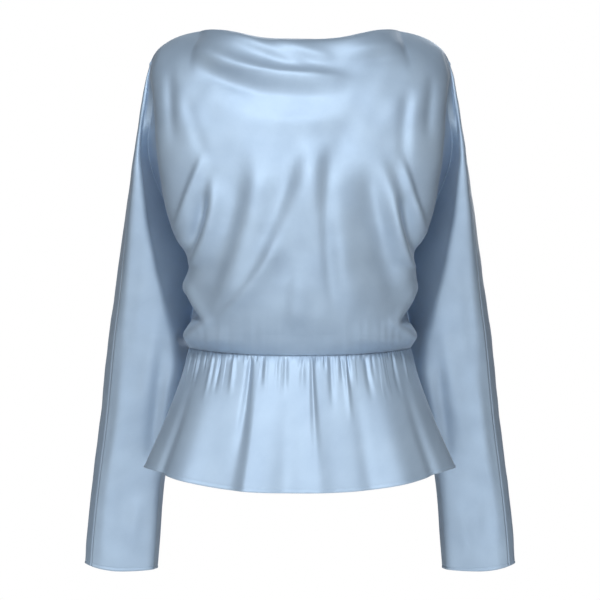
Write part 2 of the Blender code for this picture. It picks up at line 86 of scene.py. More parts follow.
lens = bpy.data.cameras.new("camera")
lens.sensor_width = SENSOR
lens.lens = SENSOR * CAMERA_DISTANCE / FRAME_HEIGHT
lens.clip_end = 50.0
camera = bpy.data.objects.new("camera", lens)
camera.location = (0.0, -CAMERA_DISTANCE, CAMERA_HEIGHT)
camera.rotation_euler = (np.pi / 2.0, 0.0, 0.0)
scene.collection.objects.link(camera)
scene.camera = camera

world = bpy.data.worlds.new("white_surround")
world.use_nodes = True
sky = world.node_tree
sky.nodes.clear()
seen = node(sky, "ShaderNodeLightPath")
plain = node(sky, "ShaderNodeBackground", None, {"Color": linear("#FFFFFF"), "Strength": 1.0})
lit = node(sky, "ShaderNodeBackground", None,
           {"Color": linear(SURROUND_COLOUR), "Strength": SURROUND_LIGHT})
mixed = node(sky, "ShaderNodeMixShader", None,
             {"Fac": seen.outputs["Is Camera Ray"], 1: lit.outputs[0], 2: plain.outputs[0]})
node(sky, "ShaderNodeOutputWorld", None, {"Surface": mixed.outputs[0]})
scene.world = world

for name, place, wide, tall, power, tint in LIGHTS:
    lamp = bpy.data.lights.new(name, "AREA")
    lamp.shape = "RECTANGLE"
    lamp.size = wide
    lamp.size_y = tall
    lamp.energy = power
    lamp.color = linear(tint)[:3]
    holder = bpy.data.objects.new(name, lamp)
    holder.location = place
    aim = np.array(LIGHTS_AIM) - np.array(place)
    flat_run = np.hypot(aim[0], aim[1])
    holder.rotation_euler = (np.arctan2(flat_run, -aim[2]), 0.0, np.arctan2(-aim[0], aim[1]))
    scene.collection.objects.link(holder)

bpy.ops.object.select_all(action="DESELECT")
bpy.ops.mesh.primitive_circle_add(vertices=96, radius=FLOOR_RADIUS, fill_type="NGON",
                                  location=(0.0, 0.0, FLOOR_Z))
floor = bpy.context.object
floor.name = "floor"
# Matt painted studio floor: an even pale surface with no gloss.
paint = bpy.data.materials.new("matt_white_floor_paint")
paint.use_nodes = True
paint_shader = paint.node_tree.nodes["Principled BSDF"]
paint_shader.inputs["Base Color"].default_value = linear("#F4F4F4")
paint_shader.inputs["Roughness"].default_value = 0.9
floor.data.materials.append(paint)

# Front and back. Each is one piece of satin-weave polyester cut with its halves of both
# batwing sleeves, joined over the arms, under the arms and down the sides with plain
# seams. Worn, the wide cloth drops in soft folds and blouses over the waist seam.
MM = 0.001
NECK_FRONT_DEPTH = 68.0
NECK_BACK_DEPTH = 58.0
NECK_HALF_WIDTH = 122.0
# How square the neck is seen from above
NECK_SQUARENESS = (2.2, 0.62)
SHOULDER_SEAM_Y = 2.0
# Rise of the cloth over the shoulder, the length of cloth that takes all of it, and how
# steeply the cloth leaves the edge for it
SHOULDER_SWELL = 5.0
SWELL_LENGTH = 60.0
SWELL_START = 8.0
TOP_FOLD_X = 174.0
# Powers. Below one, the first sets the columns of points a little wider apart at the centre,
# and the second makes the chest's oval fuller. The third keeps the fold's way in and out
# near the arm.
CHEST_SPREAD = 0.94
CHEST_FULLNESS = 0.85
FOLD_REACH = 14
SIDE_SEAM_ANGLE = 105.0
# How flat the waist seam and the peplum's hem run before they rise to the sides
RING_FLATNESS = 2.6
UNDERARM_Z = -372.0
FIRST_Z = -62.0
CUFF_Z = -665.0
ROW_STEP = 2.5
TOP_ROWS = 26
# The neck's rolled edge: its rows as shares of the way to the first section, and its height
NECK_BEAD_ROWS = (0.008, 0.028, 0.046)
NECK_BEAD = 0.35
# The cuff's edge rises from its middle to both of its folds.
CUFF_RISE_FROM = -580.0
CUFF_MIDDLE_X = 220.0
CUFF_HALF_WIDTH = 46.0
CUFF_RISE_OUTER = 9.0
CUFF_RISE_INNER = 3.0
# Plain cloth ends this far above a cuff's or the peplum's edge, and the hem takes over.
HEM_DEPTH = 7.0
# Rows of a narrow rolled hem. Columns: distance above the edge, height of the cloth there
HEM_ROWS = (
    (4.6, 0.0), (3.5, -0.22), (2.9, 0.28), (1.6, 0.34), (0.6, 0.26), (0.0, 0.0),
)
SEAM_SINK = 0.65
WAIST_ROWS = 12
CHEST_COLUMNS = 60
FOLD_COLUMNS = 20
SLEEVE_COLUMNS = 40
CLOTH_THICKNESS = 0.55
SEAM_GAP = 0.34
# Points of two grids nearer than this are one.
JOIN_DISTANCE = 0.02
# Height of the slow unevenness of the body's and the sleeves' cloth, and its waves.
# Columns: length, direction in radians
BODY_UNEVENNESS = 0.45
SLEEVE_UNEVENNESS = 0.35
UNEVEN_WAVES = ((61.0, 0.4), (43.0, 2.1), (34.0, 1.2), (27.0, 2.8))
WAVE_BEND = 1.3
WAVE_BEND_LENGTH = 47.0
# Gathers above the waist seam: height, heights where they begin and are full, and how many
# coarse and finer ones there are on each half of a panel
GATHER_HEIGHT = 0.28
GATHER_BEGIN_Z = -340.0
GATHER_FULL_Z = -374.0
COARSE_GATHERS = 11.0
FINE_GATHERS = 17.3
# The folds of one sleeve lie this much lower than those of the other.
SLEEVE_FOLD_SHIFT = 9.0

# Top outline. Columns: x, z at the front, z at the back
TOP_EDGE = (
    (0.0, -16.5, -12.0), (30.0, -16.0, -11.5), (55.0, -13.0, -10.0), (75.0, -8.0, -7.5),
    (92.0, -4.0, -5.0), (108.0, -2.2, -2.8), (122.0, -2.4, -2.4), (134.0, -4.6, -4.6),
    (147.0, -8.4, -8.4), (159.0, -14.0, -14.0), (171.0, -22.5, -22.5), (178.0, -31.0, -31.0),
    (183.3, -42.0, -42.0),
)
# Body sections. Columns: z, fold x, fold y, centre y
BODY = {
    "front": (
        (-62.0, 181.0, -22.0, -90.0), (-87.0, 177.5, -42.0, -102.0),
        (-110.0, 175.5, -54.0, -110.0), (-135.0, 174.0, -62.0, -116.0),
        (-160.0, 171.5, -66.0, -121.0), (-184.0, 168.0, -68.0, -124.0),
        (-210.0, 163.5, -70.0, -126.0), (-233.0, 158.0, -70.0, -127.0),
        (-257.0, 149.0, -66.0, -127.0), (-275.0, 139.0, -58.0, -127.0),
        (-289.0, 133.0, -50.0, -126.5), (-302.0, 137.5, -52.0, -126.0),
        (-315.0, 141.5, -52.0, -126.0), (-326.0, 138.5, -47.0, -125.3),
        (-338.0, 131.0, -41.0, -124.0), (-350.0, 128.5, -38.0, -121.5),
        (-361.0, 135.0, -40.0, -117.0), (-372.0, 139.5, -41.0, -111.5),
        (-381.0, 138.5, -36.0, -105.5), (-389.0, 134.5, -8.0, -97.0),
    ),
    "back": (
        (-62.0, 180.5, 26.0, 92.0), (-87.0, 177.0, 44.0, 102.0),
        (-110.0, 175.0, 58.0, 108.0), (-135.0, 173.0, 70.0, 112.0),
        (-160.0, 170.0, 80.0, 115.0), (-184.0, 166.0, 88.0, 116.0),
        (-210.0, 161.0, 93.0, 115.0), (-233.0, 156.0, 95.0, 114.0),
        (-257.0, 149.0, 94.0, 112.0), (-275.0, 143.0, 91.0, 110.0),
        (-289.0, 138.5, 88.0, 109.0), (-302.0, 136.0, 85.0, 108.0),
        (-315.0, 134.5, 82.0, 107.0), (-326.0, 133.5, 78.0, 106.0),
        (-338.0, 132.5, 75.0, 105.0), (-350.0, 131.5, 73.0, 104.0),
        (-361.0, 131.0, 71.0, 102.0), (-372.0, 130.8, 68.0, 98.0),
        (-381.0, 130.8, 52.0, 92.0), (-389.0, 129.9, 14.5, 79.0),
    ),
}
# The front's fold goes in and out over the arm; away from it the cloth keeps this width.
# Columns: z, half width
EVEN_WIDTH = (
    (-62.0, 181.0), (-110.0, 175.5), (-160.0, 171.5), (-210.0, 163.5), (-233.0, 158.0),
    (-257.0, 151.0), (-289.0, 143.5), (-315.0, 139.5), (-338.0, 137.0), (-361.0, 136.5),
    (-372.0, 137.0), (-381.0, 136.5), (-389.0, 134.5),
)
# Where body cloth turns out to the sleeve, tucked in behind the front's fold on its way.
# Columns: z, front crease x, front crease y, back crease x, back crease y, tuck
CREASE = (
    (-62.0, 182.6, -14.0, 182.6, 16.0, 0.0), (-87.0, 178.5, -20.5, 177.0, 26.0, 0.5),
    (-110.0, 181.0, -15.0, 171.5, 34.0, 4.0), (-135.0, 185.5, -4.0, 165.0, 44.0, 8.0),
    (-160.0, 184.0, 8.0, 158.5, 52.0, 9.0), (-184.0, 177.0, 22.0, 153.0, 58.0, 8.0),
    (-210.0, 166.0, 36.0, 147.5, 63.0, 6.0), (-233.0, 154.0, 44.0, 143.0, 66.0, 4.0),
    (-257.0, 142.0, 50.0, 137.5, 67.0, 3.0), (-289.0, 128.0, 55.0, 131.0, 67.0, 2.0),
    (-315.0, 129.0, 57.0, 131.0, 66.0, 3.0), (-338.0, 130.5, 59.0, 132.5, 65.0, 2.0),
    (-350.0, 133.0, 60.0, 134.0, 64.5, 1.0), (-361.0, 135.0, 61.0, 135.5, 63.5, 0.5),
    (-367.5, 136.0, 61.7, 136.0, 62.4, 0.0), (-372.0, 136.0, 62.0, 136.0, 62.0, 0.0),
)
# Columns: z, side seam x, side seam y
SIDE_SEAM = (
    (-372.0, 136.0, 62.0), (-376.0, 133.5, 52.0), (-381.0, 131.5, 36.0),
    (-389.0, 129.9, 14.5),
)
# Columns: z, underarm seam x, underarm seam y
UNDERARM_SEAM = (
    (-372.0, 136.0, 62.0), (-376.0, 138.6, 63.0), (-381.0, 137.5, 63.5),
    (-389.0, 132.5, 64.0), (-402.0, 129.5, 65.0), (-418.0, 130.5, 66.0),
    (-434.0, 135.0, 67.0), (-455.0, 140.0, 68.0), (-482.0, 148.0, 70.0),
    (-512.0, 157.5, 72.0), (-545.0, 165.5, 74.0), (-580.0, 169.5, 75.0),
    (-620.0, 172.0, 76.0), (-665.0, 175.5, 76.0),
)
# Sleeve sections. Columns: z, x where the front turns in, outer x, front y, rear y,
# seam set in from outer x
SLEEVE = (
    (-62.0, 185.0, 188.4, -6.0, 12.0, 0.4), (-87.0, 187.0, 192.6, -14.5, 26.0, 0.6),
    (-110.0, 190.5, 196.4, -17.0, 40.0, 0.8), (-135.0, 193.0, 200.6, -20.0, 54.0, 1.2),
    (-160.0, 193.0, 204.2, -24.0, 66.0, 1.8), (-184.0, 190.0, 207.5, -25.0, 76.0, 2.5),
    (-210.0, 187.0, 211.3, -22.0, 84.0, 3.3), (-233.0, 184.0, 215.0, -19.0, 90.0, 4.0),
    (-257.0, 179.5, 218.2, -15.0, 95.0, 4.8), (-289.0, 172.5, 222.8, -9.0, 100.0, 5.8),
    (-315.0, 166.5, 226.0, -4.0, 104.0, 6.3), (-338.0, 161.0, 229.3, 1.0, 106.0, 6.8),
    (-361.0, 156.0, 232.8, 5.0, 108.0, 7.0), (-372.0, 153.5, 234.4, 7.0, 109.0, 7.1),
    (-398.0, 149.0, 237.5, 12.0, 110.0, 7.4), (-432.0, 146.5, 241.0, 18.0, 111.0, 7.6),
    (-482.0, 155.0, 246.6, 27.0, 112.0, 8.0), (-545.0, 171.5, 254.9, 37.0, 111.0, 8.0),
    (-580.0, 175.5, 259.0, 41.0, 109.0, 7.8), (-620.0, 178.0, 262.7, 45.0, 107.0, 7.6),
    (-665.0, 181.0, 265.6, 48.0, 104.0, 7.4),
)
# Profile of a sleeve. The front lies flat as far as its inner edge, then turns in sharply.
# Columns: share of its width from that edge, share of the depth in from front or rear
SLEEVE_FRONT = ((0.0, 0.07), (0.10, 0.01), (0.45, -0.01), (0.82, 0.01))
SLEEVE_REAR = ((0.10, 0.08), (0.52, 0.0))
# Depths of the widest place and of the overarm seam, as shares of the depth from the front
SLEEVE_WIDEST = 0.42
OVERARM_DEPTH = 0.10
# Where the cloth is on its way from the underarm to that edge, as shares in x and y
SLEEVE_START = {"front": (0.6, 0.6), "back": (0.40, 0.26)}
# Waist and hem ovals, used again by the peplum. Columns: share of the way down, side z,
# half width, side y, front y, back y, centre drop
PEPLUM = (
    (0.0, -389.0, 134.5, -8.0, -97.0, 79.0, 8.0),
    (0.05, -396.0, 136.6, -11.0, -102.5, 82.0, 9.0),
    (0.14, -408.5, 139.5, -15.5, -108.5, 85.5, 11.0),
    (0.3, -431.0, 145.5, -23.0, -117.0, 91.0, 14.0),
    (0.6, -473.0, 160.0, -35.5, -131.5, 101.0, 20.0),
    (1.0, -531.5, 184.0, -45.0, -150.0, 112.0, 28.0),
)
# Folds, each along a path of three places seen from the front, ridges above zero. Lean
# above zero makes the side to the right of the path the steeper one.
# Columns: x and z of start, middle and end, half width, height, lean
FOLDS = {
    "front": (
        # soft cowl folds from the wearer's right shoulder across the neck
        (-142, -10, -50, -58, 100, -62, 14.0, 12.5, 0.05),
        (-138, -30, -60, -76, 70, -84, 9.0, -2.6, 0.0),
        (-100, -2, -38, -28, 14, -50, 8.0, 4.2, 0.1),
        (-50, -12, 4, -31, 50, -42, 8.0, 3.2, 0.1),
        (50, -36, 96, -26, 140, -18, 9.0, 2.4, 0.0),
        (54, -46, 100, -38, 150, -36, 9.0, -1.6, 0.0),
        (-70, -84, -30, -98, 18, -106, 14.0, -2.0, 0.0),
        (-40, -112, 8, -116, 64, -114, 12.0, 1.8, 0.0),
        # long quiet folds that hang from the shoulders
        (-158, -40, -156, -95, -152, -150, 7.0, -2.6, 0.0),
        (-146, -50, -134, -110, -112, -170, 13.0, 1.6, 0.0),
        (-142, -70, -128, -120, -108, -176, 9.0, -1.8, 0.0),
        (160, -50, 157, -95, 152, -150, 7.0, -2.6, 0.0),
        (146, -60, 136, -120, 128, -190, 13.0, 1.6, 0.0),
        (134, -70, 125, -125, 126, -196, 8.0, -2.4, 0.0),
        # the folds over the wearer's right arm and ribs
        (-112, -150, -132, -200, -153, -256, 6.0, 4.6, 0.35),
        (-113, -196, -122, -240, -142, -284, 8.5, -9.0, 0.0),
        (-102, -176, -111, -240, -137, -302, 10.0, 8.5, 0.5),
        (-46, -146, -62, -252, -104, -370, 22.0, 11.5, 0.45),
        (-24, -248, -54, -306, -106, -362, 7.0, 2.8, 0.5),
        (-141, -302, -127, -332, -106, -364, 5.0, 4.0, 0.3),
        (-144, -318, -134, -341, -116, -360, 4.5, -6.5, 0.0),
        (-143, -382, -128, -367, -98, -352, 6.0, 4.0, 0.0),
        # middle folds that rise from the waist gathers
        (18, -136, -12, -238, -74, -356, 20.0, 9.5, 0.5),
        (22, -130, 17, -240, 30, -372, 17.0, 8.5, -0.5),
        (4, -270, -4, -325, -8, -374, 12.0, 3.6, 0.2),
        (64, -104, 46, -165, 32, -246, 18.0, -3.2, 0.0),
        (58, -136, 46, -244, 74, -368, 22.0, 10.5, 0.3),
        (78, -150, 98, -250, 124, -366, 15.0, -6.0, 0.0),
        # the folds over the wearer's left ribs and arm
        (84, -148, 116, -232, 140, -324, 15.0, 7.0, -0.3),
        (118, -150, 134, -204, 155, -262, 6.0, 4.8, -0.35),
        (119, -200, 130, -248, 144, -290, 8.5, -9.0, 0.0),
        (108, -186, 119, -256, 144, -330, 9.0, 6.0, -0.5),
        (141, -306, 129, -336, 108, -366, 5.0, 4.0, -0.3),
        (144, -322, 135, -345, 118, -362, 4.5, -6.5, 0.0),
        (143, -382, 128, -368, 98, -354, 6.0, 4.0, 0.0),
    ),
    "back": (
        (-120, -26, -40, -56, 30, -62, 10.0, 3.4, 0.3),
        (-90, -46, -30, -76, 50, -74, 10.0, -2.4, 0.0),
        (110, -30, 60, -48, 20, -54, 8.0, 2.4, 0.0),
        (-158, -60, -152, -110, -144, -170, 8.0, -2.8, 0.0),
        (-144, -70, -134, -120, -118, -176, 9.0, 2.8, 0.0),
        (158, -60, 150, -110, 140, -170, 8.0, -2.8, 0.0),
        (142, -70, 130, -126, 118, -176, 9.0, 2.6, 0.0),
        (-108, -168, -122, -214, -142, -268, 8.0, 5.4, 0.3),
        (-88, -206, -100, -256, -118, -330, 10.0, -5.2, 0.0),
        (-62, -180, -70, -246, -92, -340, 11.0, 5.0, 0.2),
        (-34, -210, -42, -280, -56, -352, 10.0, -5.0, 0.0),
        (-8, -176, -14, -250, -22, -352, 11.0, 4.8, 0.0),
        (16, -226, 14, -290, 10, -356, 9.0, -4.6, 0.0),
        (40, -186, 46, -260, 54, -350, 11.0, 4.8, -0.2),
        (66, -214, 76, -280, 88, -344, 9.0, -5.0, 0.0),
        (92, -178, 104, -240, 122, -330, 10.0, 5.0, -0.3),
        (112, -160, 126, -212, 144, -262, 8.0, 5.0, -0.3),
    ),
}
# Quiet folds of the sleeves. Columns: as above, for the wearer's left arm
SLEEVE_FOLDS = {
    "front": (
        (206, -120, 214, -220, 226, -330, 7.0, 1.6, 0.0),
        (196, -250, 206, -330, 214, -420, 9.0, -1.6, 0.0),
        (174, -330, 186, -420, 204, -520, 10.0, 2.0, 0.0),
        (168, -380, 176, -460, 190, -560, 7.0, -1.8, 0.0),
        (214, -400, 224, -480, 236, -580, 9.0, 1.6, 0.0),
        (156, -400, 163, -450, 176, -520, 6.0, 2.0, 0.0),
        (222, -520, 230, -590, 236, -650, 9.0, -1.4, 0.0),
        (196, -560, 204, -610, 208, -655, 9.0, 1.4, 0.0),
    ),
    "back": (
        (180, -170, 186, -260, 198, -360, 10.0, 3.0, 0.0),
        (200, -200, 208, -300, 216, -400, 9.0, -2.6, 0.0),
        (164, -300, 172, -380, 190, -470, 9.0, -3.0, 0.0),
        (184, -400, 200, -450, 226, -486, 8.0, 3.2, 0.3),
        (160, -430, 180, -486, 214, -520, 8.0, -2.8, 0.0),
        (196, -520, 206, -580, 212, -650, 10.0, 2.4, 0.0),
        (224, -500, 232, -570, 240, -640, 9.0, -2.0, 0.0),
    ),
}
# A fold's path has this many steps, and the fold ends this many half widths from it.
PATH_STEPS = 16
FOLD_SPAN = 3.0


def read_table(table, at):
    """Every column of a table at many places, on a smooth curve through its rows."""
    rows = np.array(table, dtype=float)
    if rows[0, 0] > rows[-1, 0]:
        rows = rows[::-1]
    key = rows[:, 0]
    at = np.clip(np.asarray(at, dtype=float), key[0], key[-1])
    high = np.clip(np.searchsorted(key, at), 1, len(key) - 1)
    low = high - 1
    before = np.maximum(low - 1, 0)
    after = np.minimum(high + 1, len(key) - 1)
    span = (key[high] - key[low])[:, None]
    slope_low = (rows[high] - rows[before]) / (key[high] - key[before])[:, None] * span
    slope_high = (rows[after] - rows[low]) / (key[after] - key[low])[:, None] * span
    share = ((at - key[low]) / (key[high] - key[low]))[:, None]
    found = ((2 * share ** 3 - 3 * share ** 2 + 1) * rows[low]
             + (share ** 3 - 2 * share ** 2 + share) * slope_low
             + (3 * share ** 2 - 2 * share ** 3) * rows[high]
             + (share ** 3 - share ** 2) * slope_high)
    return found[:, 1:]


def even_curve(knots, count):
    """Points spaced evenly along a smooth line through a few given points."""
    knots = np.array(knots, dtype=float)
    steps = np.linalg.norm(np.diff(knots, axis=0), axis=1)
    length = np.concatenate(([0.0], np.cumsum(steps)))
    fine = read_table(np.column_stack((length, knots)), np.linspace(0.0, length[-1], 90))
    walk = np.linalg.norm(np.diff(fine, axis=0), axis=1)
    walk = np.concatenate(([0.0], np.cumsum(walk)))
    wanted = np.linspace(0.0, walk[-1], count + 1)
    return np.column_stack([np.interp(wanted, walk, fine[:, k]) for k in range(fine.shape[1])])


def crease_at(side, z, seam_below):
    """Place of the crease in x and y and its tuck, or of the seam that goes on below it."""
    if z < UNDERARM_Z:
        x, y = read_table(seam_below, [z])[0]
        return x, y, 0.0
    front_x, front_y, back_x, back_y, tuck = read_table(CREASE, [z])[0]
    return (front_x, front_y, tuck) if side == "front" else (back_x, back_y, 0.0)


def body_section(side, z, fullness=CHEST_FULLNESS):
    """Half a body section in x and y, from the centre out to the fold and in to the crease."""
    fold_x, fold_y, centre_y = read_table(BODY[side], [z])[0]
    crease_x, crease_y, tuck = crease_at(side, z, SIDE_SEAM)
    turn = 0.5 * np.pi * np.linspace(0.0, 1.0, CHEST_COLUMNS + 1) ** CHEST_SPREAD
    cosine = np.maximum(np.cos(turn), 0.0)
    sine = np.sin(turn)
    even_x = read_table(EVEN_WIDTH, [z])[0][0] if side == "front" else fold_x
    x = even_x * sine + (fold_x - even_x) * sine ** FOLD_REACH
    chest = np.column_stack((x, fold_y + (centre_y - fold_y) * cosine ** fullness))
    bend = (0.5 * (fold_x + crease_x) - tuck, 0.5 * (fold_y + crease_y))
    fold = even_curve((chest[-1], bend, (crease_x, crease_y)), FOLD_COLUMNS)
    return np.vstack((chest, fold[1:]))


def sleeve_section(side, z):
    """Half a sleeve section in x and y, from crease or underarm seam to overarm seam."""
    turn_x, outer_x, front_y, rear_y, set_in = read_table(SLEEVE, [z])[0]
    start_x, start_y, _ = crease_at(side, z, UNDERARM_SEAM)
    depth = rear_y - front_y
    seam = (outer_x - set_in, front_y + OVERARM_DEPTH * depth)
    if side == "front":
        wide = seam[0] - turn_x
        knots = [(turn_x + across * wide, front_y + deep * depth) for across, deep in SLEEVE_FRONT]
    else:
        wide = outer_x - turn_x
        knots = [(turn_x + across * wide, rear_y - deep * depth) for across, deep in SLEEVE_REAR]
        knots.append((outer_x, front_y + SLEEVE_WIDEST * depth))
    on_x, on_y = SLEEVE_START[side]
    early = (start_x + on_x * (knots[0][0] - start_x), start_y + on_y * (knots[0][1] - start_y))
    return even_curve([(start_x, start_y), early] + knots + [seam], SLEEVE_COLUMNS)


def oval(angle, half_width, side_y, front_y, back_y, power=1.0):
    """Points of an oval, angle zero at the front centre, in degrees; less power is flatter."""
    turn = np.radians(angle)
    reach = np.where(np.abs(angle) <= 90.0, side_y - front_y, back_y - side_y)
    cosine = np.cos(turn)
    return half_width * np.sin(turn), side_y - reach * np.sign(cosine) * np.abs(cosine) ** power


def ring_z(angle, side_z, drop):
    """Height round the waist or hem, lower at both centres than at the sides."""
    return side_z - drop * (1.0 - np.abs(np.sin(np.radians(angle))) ** RING_FLATNESS)


def ease(value, low, high):
    """Zero at low, one at high and beyond, smooth between; low may be above high."""
    t = np.clip((value - low) / (high - low), 0.0, 1.0)
    return t * t * (3.0 - 2.0 * t)


def half_grids(side):
    """Grids of one half of a panel: top edge to underarm, on to the waist, and the sleeve."""
    facing = -1.0 if side == "front" else 1.0
    heights = np.linspace(FIRST_Z, UNDERARM_Z, int((FIRST_Z - UNDERARM_Z) / ROW_STEP) + 1)
    rows = []
    for z in heights:
        flat = np.vstack((body_section(side, z), sleeve_section(side, z)[1:]))
        rows.append(np.column_stack((flat, np.full(len(flat), z))))
    upper = np.array(rows)
    # The neck edge ends at the middle one of the chest columns.
    spread = np.log(NECK_HALF_WIDTH / TOP_FOLD_X) / np.log(np.sin(np.pi / 4.0))
    x = TOP_FOLD_X * np.sin(0.5 * np.pi * np.linspace(0.0, 1.0, CHEST_COLUMNS + 1)) ** spread
    rest = FOLD_COLUMNS + SLEEVE_COLUMNS
    tip = TOP_EDGE[-1][0]
    x = np.concatenate((x, TOP_FOLD_X + (tip - TOP_FOLD_X) * np.arange(1, rest + 1) / rest))
    depth = -NECK_FRONT_DEPTH if side == "front" else NECK_BACK_DEPTH
    inside = np.clip(x / NECK_HALF_WIDTH, 0.0, 1.0)
    squareness, roundness = NECK_SQUARENESS
    y = SHOULDER_SEAM_Y + depth * (1.0 - inside ** squareness) ** roundness
    level = read_table(TOP_EDGE, x)[:, 0 if side == "front" else 1]
    edge = np.column_stack((x, y, level))
    # Between the edge and the first section the cloth rolls over the shoulder.
    first = upper[0]
    span = np.linalg.norm(first - edge, axis=1)[:, None]
    slope = upper[0] - upper[1]
    slope = -slope / np.linalg.norm(slope, axis=1)[:, None] * span
    swell = SHOULDER_SWELL * np.minimum(1.0, span / SWELL_LENGTH)
    swell *= 1.0 - ease(np.arange(len(x)), len(x) - 1.0 - SLEEVE_COLUMNS, len(x) - 1.0)[:, None]
    start = slope + SWELL_START * np.hstack((0.0 * swell, facing * swell, swell))
    top = []
    shares = np.linspace(0.0, 1.0, TOP_ROWS + 1)[:-1]
    shares = np.concatenate((shares[:1], NECK_BEAD_ROWS, shares[2:]))
    for t in shares:
        top.append((2 * t ** 3 - 3 * t ** 2 + 1) * edge + (t ** 3 - 2 * t ** 2 + t) * start
                   + (3 * t ** 2 - 2 * t ** 3) * first + (t ** 3 - t ** 2) * slope)
    upper = np.concatenate((np.array(top), upper))
    # Waist: the blouse turns in under itself to the seam.
    _, side_z, half_width, side_y, front_y, back_y, drop = PEPLUM[0]
    if side == "front":
        chest_part = 90.0 * np.linspace(0.0, 1.0, CHEST_COLUMNS + 1) ** CHEST_SPREAD
        fold_part = (SIDE_SEAM_ANGLE - 90.0) * np.arange(1, FOLD_COLUMNS + 1) / FOLD_COLUMNS
        angle = np.concatenate((chest_part, 90.0 + fold_part))
    else:
        # Space the seam's columns as the section above has them.
        section = body_section(side, side_z)
        wanted = np.clip(section[:, 0] / half_width, 0.0, 1.0)
        angle = np.maximum(180.0 - np.degrees(np.arcsin(wanted)), SIDE_SEAM_ANGLE)
        knee = CHEST_COLUMNS - FOLD_COLUMNS
        angle[knee:] = np.linspace(angle[knee], SIDE_SEAM_ANGLE, len(angle) - knee)
    waist = [upper[-1][:CHEST_COLUMNS + FOLD_COLUMNS + 1]]
    last_x, last_y = oval(angle, half_width, side_y, front_y, back_y)
    last = np.column_stack((last_x, last_y, ring_z(angle, side_z, drop)))
    for t in np.linspace(0.0, 1.0, WAIST_ROWS + 1)[1:]:
        z = UNDERARM_Z + t * (side_z - UNDERARM_Z)
        flat = body_section(side, z, CHEST_FULLNESS + t ** 3 * (1.0 - CHEST_FULLNESS))
        line = np.column_stack((flat, ring_z(angle, z, drop * t ** 2)))
        blend = t ** 4
        waist.append((1.0 - blend) * line + blend * last)
    waist = np.array(waist)
    # Sleeve from the underarm point to the cuff, whose edge dips in the middle.
    lower = [upper[-1][CHEST_COLUMNS + FOLD_COLUMNS:]]
    plain_end = CUFF_Z + HEM_DEPTH
    levels = np.linspace(UNDERARM_Z, plain_end, int((UNDERARM_Z - plain_end) / ROW_STEP) + 1)[1:]
    for z in np.concatenate((levels, [CUFF_Z + rise for rise, _ in HEM_ROWS])):
        flat = sleeve_section(side, z)
        reached = np.clip((CUFF_RISE_FROM - z) / (CUFF_RISE_FROM - CUFF_Z), 0.0, 1.0)
        aside = flat[:, 0] - CUFF_MIDDLE_X
        rise = np.where(aside > 0.0, CUFF_RISE_OUTER, CUFF_RISE_INNER)
        lower.append(np.column_stack((flat, z + rise * reached * (aside / CUFF_HALF_WIDTH) ** 2)))
    return upper, waist, np.array(lower)


def fold_heights(folds, x, z):
    """Sum of the ridges and troughs at many places of a panel."""
    total = np.zeros(np.shape(x))
    for x0, z0, x1, z1, x2, z2, width, height, lean in folds:
        start, middle, end = np.array(((x0, z0), (x1, z1), (x2, z2)))
        t = np.linspace(0.0, 1.0, PATH_STEPS + 1)[:, None]
        bend = 2.0 * middle - 0.5 * (start + end)
        path = (1 - t) ** 2 * start + 2 * t * (1 - t) * bend + t ** 2 * end
        reach = FOLD_SPAN * width
        near = ((x > path[:, 0].min() - reach) & (x < path[:, 0].max() + reach)
                & (z > path[:, 1].min() - reach) & (z < path[:, 1].max() + reach))
        if not near.any():
            continue
        px, pz = x[near], z[near]
        best = np.full(px.shape, 1e9)
        side_of = np.zeros(px.shape)
        place = np.zeros(px.shape)
        for k in range(PATH_STEPS):
            run = path[k + 1] - path[k]
            size = run @ run
            along = ((px - path[k, 0]) * run[0] + (pz - path[k, 1]) * run[1]) / size
            held = np.clip(along, 0.0, 1.0)
            dx = px - path[k, 0] - held * run[0]
            dz = pz - path[k, 1] - held * run[1]
            gap = np.hypot(dx, dz)
            closer = gap < best
            best = np.where(closer, gap, best)
            side_of = np.where(closer, np.sign(run[0] * dz - run[1] * dx), side_of)
            place = np.where(closer, (k + held) / PATH_STEPS, place)
        sharp = width * (1.0 + lean * side_of * np.tanh(best / width))
        taper = 1.0 - (1.0 - np.sin(np.pi * place) ** 2) ** 2
        total[near] += height * taper * np.exp(-(best / sharp) ** 2)
    return total


def soft_noise(x, z, seed):
    """Slow unevenness of hanging cloth, a few crossing waves of no fixed repeat."""
    total = 0.0
    for k, (length, turn) in enumerate(UNEVEN_WAVES):
        phase = seed * 1.7 + k * 2.3
        across = x * np.cos(turn) + z * np.sin(turn)
        bend = WAVE_BEND * np.sin(z / WAVE_BEND_LENGTH + phase)
        total = total + np.sin(2 * np.pi * across / length + phase + bend) / (k + 1.6)
    return total


def grid_normals(grid):
    """Unit direction square to a grid of points at each of them."""
    down = np.gradient(grid, axis=0)
    over = np.gradient(grid, axis=1)
    square = np.cross(down, over)
    return square / np.maximum(np.linalg.norm(square, axis=2), 1e-9)[:, :, None]


